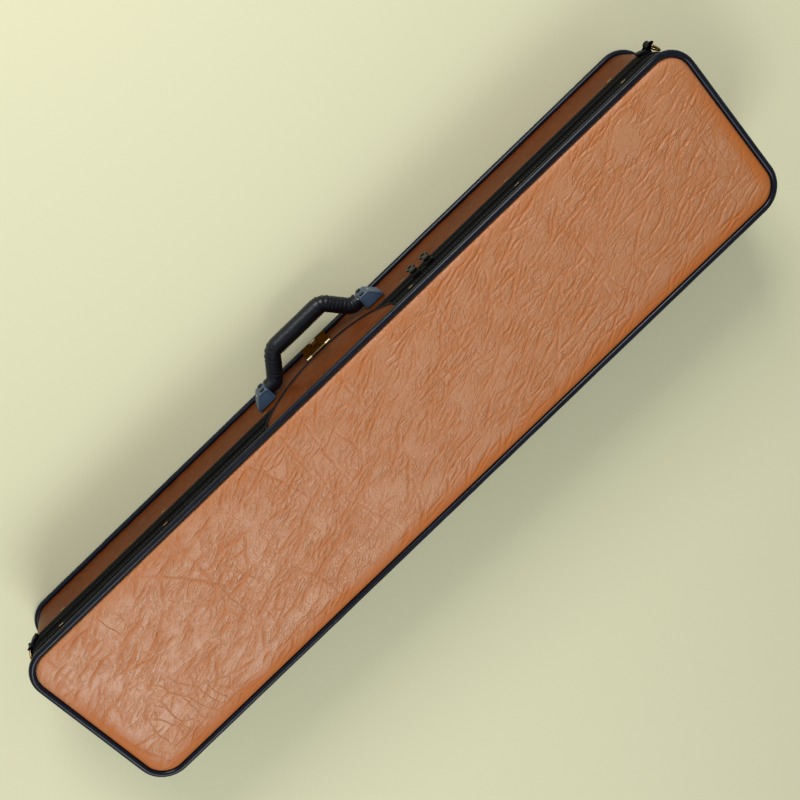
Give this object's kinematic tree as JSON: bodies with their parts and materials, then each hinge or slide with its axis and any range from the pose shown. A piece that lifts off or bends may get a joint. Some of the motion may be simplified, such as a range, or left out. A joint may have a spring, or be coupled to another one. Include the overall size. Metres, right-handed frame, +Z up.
{
  "type": "instrument case",
  "caption": "Long rectangular zip-up hard case with tan leathercloth lid, black piping, padded carry handle, hasp lock and a plush cradle inside.",
  "frame": {"origin": "middle of the flat rest face under the base", "axes": "+X along the case, -Y towards the handle side, +Z up from the rest face to the lid"},
  "size_m": [0.85, 0.2335, 0.118],
  "materials": {
    "lid_leather": "crinkled tan leathercloth, soft sheen",
    "wall_leather": "brown leathercloth, pebbled, satin",
    "piping_vinyl": "smooth black vinyl piping, glossy",
    "zip_tape": "black woven zip tape, matt",
    "zip_teeth": "black nylon coil",
    "brass": "polished brass plating",
    "steel": "bright steel wire",
    "black_metal": "black enamelled metal",
    "handle_vinyl": "black padded vinyl with fine grain",
    "tab_vinyl": "black leathercloth end tabs, satin",
    "plywood": "plain birch plywood",
    "plush": "deep red short-pile plush",
    "button_plastic": "black moulded plastic"
  },
  "bodies": {
    "base": {"base_shell": "plywood", "base_wall_cover": "wall_leather", "bottom_cover": "wall_leather", "bottom_piping": "piping_vinyl", "base_zip_tape": "zip_tape", "base_zip_chain": "zip_teeth", "base_staples": "brass", "hinge_strip": "wall_leather", "base_lining": "plush", "foam_head_front": "plush", "foam_mid_front": "plush", "foam_low_front": "plush", "foam_head_rear": "plush", "foam_mid_rear": "plush", "foam_low_rear": "plush", "soundbox_pad_front": "plush", "soundbox_pad_rear": "plush", "soundbox_pad_end": "plush", "neck_rest_head": "plush", "neck_rest_low": "plush", "accessory_box": "plush", "accessory_hinge_pin": "steel", "handle_tab_left": "tab_vinyl", "handle_tab_right": "tab_vinyl", "handle_rivets": "black_metal", "lock_case": "brass", "strap_anchor_left": "handle_vinyl", "strap_anchor_right": "handle_vinyl"},
    "lid": {"lid_shell": "plywood", "lid_wall_cover": "wall_leather", "lid_panel_cover": "lid_leather", "lid_piping": "piping_vinyl", "lid_zip_tape": "zip_tape", "lid_zip_chain": "zip_teeth", "lid_staples": "brass", "lid_lining": "plush", "lock_flap": "wall_leather", "flap_binding": "piping_vinyl", "hasp_leaf": "brass", "hasp_pin": "steel", "bow_post_left": "brass", "bow_post_right": "brass"},
    "handle": {"handle_grip": "handle_vinyl", "handle_legs": "handle_vinyl", "handle_toes": "handle_vinyl", "handle_pins": "steel"},
    "hasp": {"hasp_plate": "brass"},
    "latch": {"latch_knob": "brass"},
    "ring_left": {"strap_ring_left": "brass"},
    "ring_right": {"strap_ring_right": "brass"},
    "zip_left": {"slider_left": "black_metal"},
    "zip_right": {"slider_right": "black_metal"},
    "zip_pull_left": {"pull_left": "black_metal"},
    "zip_pull_right": {"pull_right": "black_metal"},
    "box_cover": {"accessory_cover": "plush", "accessory_tab": "wall_leather"},
    "bow_turn_left": {"bow_button_left": "button_plastic"},
    "bow_turn_right": {"bow_button_right": "button_plastic"}
  },
  "joints": [
    {"name": "lid_hinge", "type": "hinge", "parent": "base", "child": "lid", "pos_m": [0, 0.0933, 0.0835], "axis": [-1, 0, 0], "range_deg": [0, 170], "deforming": ["hinge_strip"]},
    {"name": "handle_swing", "type": "hinge", "parent": "base", "child": "handle", "pos_m": [0.013, -0.103, 0.0385], "axis": [-1, 0, 0], "range_deg": [-12, 45]},
    {"name": "hasp_swing", "type": "hinge", "parent": "lid", "child": "hasp", "pos_m": [0.013, -0.0988, 0.0523], "axis": [-1, 0, 0], "range_deg": [0, 35]},
    {"name": "latch_slide", "type": "slide", "parent": "hasp", "child": "latch", "axis": [1, 0, 0], "range_m": [0, 0.005]},
    {"name": "ring_left_swing", "type": "hinge", "parent": "base", "child": "ring_left", "pos_m": [0.41249, -0.09126, 0.0735], "axis": [0, 0, -1], "range_deg": [0, 115]},
    {"name": "ring_right_swing", "type": "hinge", "parent": "base", "child": "ring_right", "pos_m": [-0.41448, -0.09401, 0.0735], "axis": [0, 0, 1], "range_deg": [0, 115]},
    {"name": "slider_left_slide", "type": "slide", "parent": "base", "child": "zip_left", "axis": [1, 0, 0], "range_m": [0, 0.025]},
    {"name": "slider_right_slide", "type": "slide", "parent": "base", "child": "zip_right", "axis": [-1, 0, 0], "range_m": [0, 0.265]},
    {"name": "pull_left_swing", "type": "hinge", "parent": "zip_left", "child": "zip_pull_left", "pos_m": [-0.105, -0.0991, 0.082], "axis": [-1, 0, 0], "range_deg": [0, 160]},
    {"name": "pull_right_swing", "type": "hinge", "parent": "zip_right", "child": "zip_pull_right", "pos_m": [-0.122, -0.0991, 0.082], "axis": [-1, 0, 0], "range_deg": [0, 160]},
    {"name": "box_cover_hinge", "type": "hinge", "parent": "base", "child": "box_cover", "pos_m": [0.0413, 0.0791, 0.0484], "axis": [-1, 0, 0], "range_deg": [0, 90]},
    {"name": "bow_left_turn", "type": "hinge", "parent": "lid", "child": "bow_turn_left", "pos_m": [0.2, -0.055, 0.091], "axis": [0, 0, 1], "range_deg": [-90, 90]},
    {"name": "bow_right_turn", "type": "hinge", "parent": "lid", "child": "bow_turn_right", "pos_m": [-0.2, -0.055, 0.091], "axis": [0, 0, 1], "range_deg": [-90, 90]}
  ]
}
